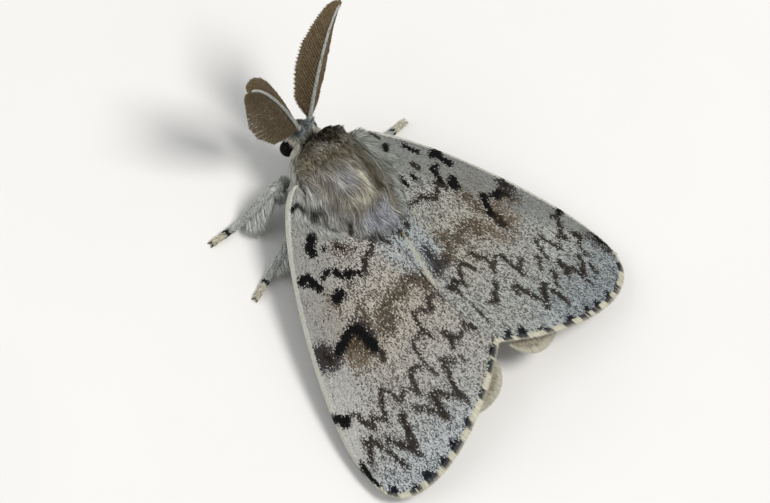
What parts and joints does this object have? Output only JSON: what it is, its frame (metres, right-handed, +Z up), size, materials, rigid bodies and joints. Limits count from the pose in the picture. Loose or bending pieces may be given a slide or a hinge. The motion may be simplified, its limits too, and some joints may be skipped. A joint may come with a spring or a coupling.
{
  "type": "lymantria moth",
  "caption": "Life-size model of a male Lymantria moth at rest, with feathered antennae, hairy thorax and legs, and patterned wings closed into a low roof.",
  "frame": {"origin": "middle of the model's box, on the floor that the feet stand on", "axes": "+Y from the head towards the wing tips, +X to the moth's left, +Z up from the floor"},
  "size_m": [0.0256, 0.0274, 0.0123],
  "materials": {
    "thorax": "long grey-brown hair",
    "head": "short pale grey hair",
    "eye": "glossy black",
    "abdomen": "short buff hair",
    "forewing": "grey-white scales with dark zigzag lines",
    "hindwing": "buff scales",
    "antenna": "pale shaft with brown rami",
    "leg": "white hair with black bands"
  },
  "bodies": {
    "root": {"abdomen": "abdomen", "antenna_left": "antenna", "antenna_right": "antenna", "eye_left": "eye", "eye_right": "eye", "forewing_left": "forewing", "forewing_right": "forewing", "head": "head", "hindwing_left": "hindwing", "hindwing_right": "hindwing", "leg_fore_left_femur": "leg", "leg_fore_left_tarsus": "leg", "leg_fore_left_tibia": "leg", "leg_fore_right_femur": "leg", "leg_fore_right_tarsus": "leg", "leg_fore_right_tibia": "leg", "leg_hind_left_femur": "leg", "leg_hind_left_tarsus": "leg", "leg_hind_left_tibia": "leg", "leg_hind_right_femur": "leg", "leg_hind_right_tarsus": "leg", "leg_hind_right_tibia": "leg", "leg_mid_left_femur": "leg", "leg_mid_left_tarsus": "leg", "leg_mid_left_tibia": "leg", "leg_mid_right_femur": "leg", "leg_mid_right_tarsus": "leg", "leg_mid_right_tibia": "leg", "palp_left": "head", "palp_right": "head", "thorax": "thorax"}
  },
  "joints": []
}
